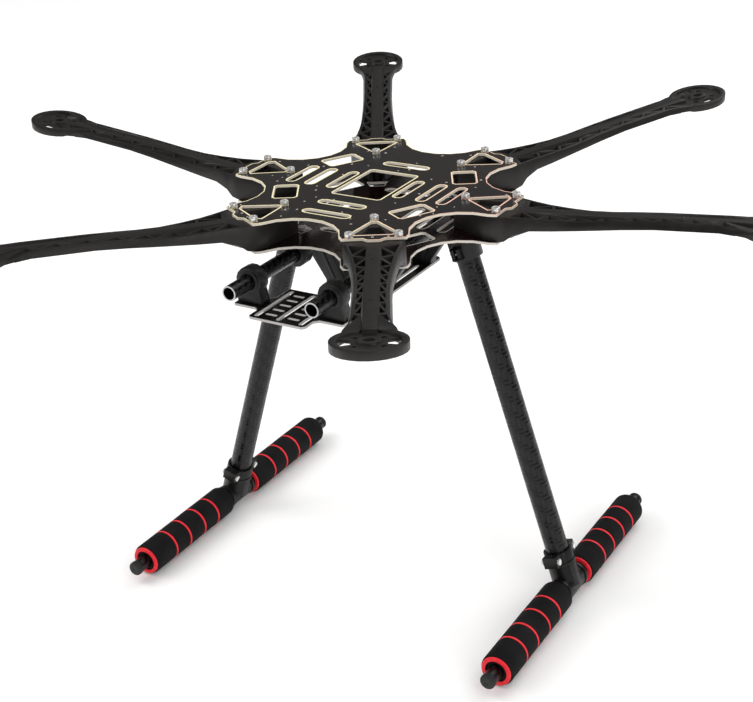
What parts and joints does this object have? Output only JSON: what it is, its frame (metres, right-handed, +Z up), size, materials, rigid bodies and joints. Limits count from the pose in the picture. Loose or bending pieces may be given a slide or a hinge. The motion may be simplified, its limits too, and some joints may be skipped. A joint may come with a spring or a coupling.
{
  "type": "hexacopter drone airframe",
  "caption": "Bare six-arm multirotor airframe: two slotted decks, lattice arms with motor discs, foam-sleeved skids and two trays that slide on rail rods.",
  "frame": {"origin": "middle of the decks in plan, on the ground under the skids", "axes": "+Z up, nose towards -Y, +X along the right arm"},
  "size_m": [0.5912, 0.5174, 0.301],
  "materials": {
    "deck_laminate": "glossy circuit laminate with gilt edge lines",
    "tray_laminate": "satin black glass laminate",
    "arm_nylon": "satin moulded nylon",
    "screw_steel": "bright plated screws",
    "carbon_tube": "carbon fibre tube",
    "grip_foam": "matt black foam with red rings",
    "plug_rubber": "dull dark rubber"
  },
  "bodies": {
    "airframe": {"top_deck": "deck_laminate", "lower_deck": "deck_laminate", "arm_right": "arm_nylon", "arm_rear_right": "arm_nylon", "arm_rear_left": "arm_nylon", "arm_left": "arm_nylon", "arm_front_left": "arm_nylon", "arm_front_right": "arm_nylon", "screw_right_left": "screw_steel", "screw_right_right": "screw_steel", "screw_right_inner": "screw_steel", "screw_rear_right_left": "screw_steel", "screw_rear_right_right": "screw_steel", "screw_rear_right_inner": "screw_steel", "screw_rear_left_left": "screw_steel", "screw_rear_left_right": "screw_steel", "screw_rear_left_inner": "screw_steel", "screw_left_left": "screw_steel", "screw_left_right": "screw_steel", "screw_left_inner": "screw_steel", "screw_front_left_left": "screw_steel", "screw_front_left_right": "screw_steel", "screw_front_left_inner": "screw_steel", "screw_front_right_left": "screw_steel", "screw_front_right_right": "screw_steel", "screw_front_right_inner": "screw_steel", "leg_socket_left": "arm_nylon", "leg_tee_left": "arm_nylon", "leg_tube_left": "carbon_tube", "skid_tube_left": "carbon_tube", "rod_hanger_left_front": "arm_nylon", "foam_grip_left_front": "grip_foam", "end_plug_left_front": "plug_rubber", "rod_hanger_left_rear": "arm_nylon", "foam_grip_left_rear": "grip_foam", "end_plug_left_rear": "plug_rubber", "leg_socket_right": "arm_nylon", "leg_tee_right": "arm_nylon", "leg_tube_right": "carbon_tube", "skid_tube_right": "carbon_tube", "rod_hanger_right_front": "arm_nylon", "foam_grip_right_front": "grip_foam", "end_plug_right_front": "plug_rubber", "rod_hanger_right_rear": "arm_nylon", "foam_grip_right_rear": "grip_foam", "end_plug_right_rear": "plug_rubber"},
    "rails": {"rail_rod_left": "carbon_tube", "rail_rod_right": "carbon_tube"},
    "gimbal_carrier": {"gimbal_tray": "tray_laminate", "tray_clamp_left": "arm_nylon", "tray_clamp_right": "arm_nylon"},
    "battery_carrier": {"battery_tray": "tray_laminate", "drop_arm_left_front": "arm_nylon", "drop_arm_left_rear": "arm_nylon", "drop_arm_right_front": "arm_nylon", "drop_arm_right_rear": "arm_nylon"}
  },
  "joints": [
    {"name": "rails_slide", "type": "slide", "parent": "airframe", "child": "rails", "axis": [0, 1, 0], "range_m": [-0.008, 0.008]},
    {"name": "gimbal_tray_slide", "type": "slide", "parent": "rails", "child": "gimbal_carrier", "axis": [0, 1, 0], "range_m": [-0.016, 0.033]},
    {"name": "battery_tray_slide", "type": "slide", "parent": "rails", "child": "battery_carrier", "axis": [0, 1, 0], "range_m": [-0.009, 0.009]}
  ]
}
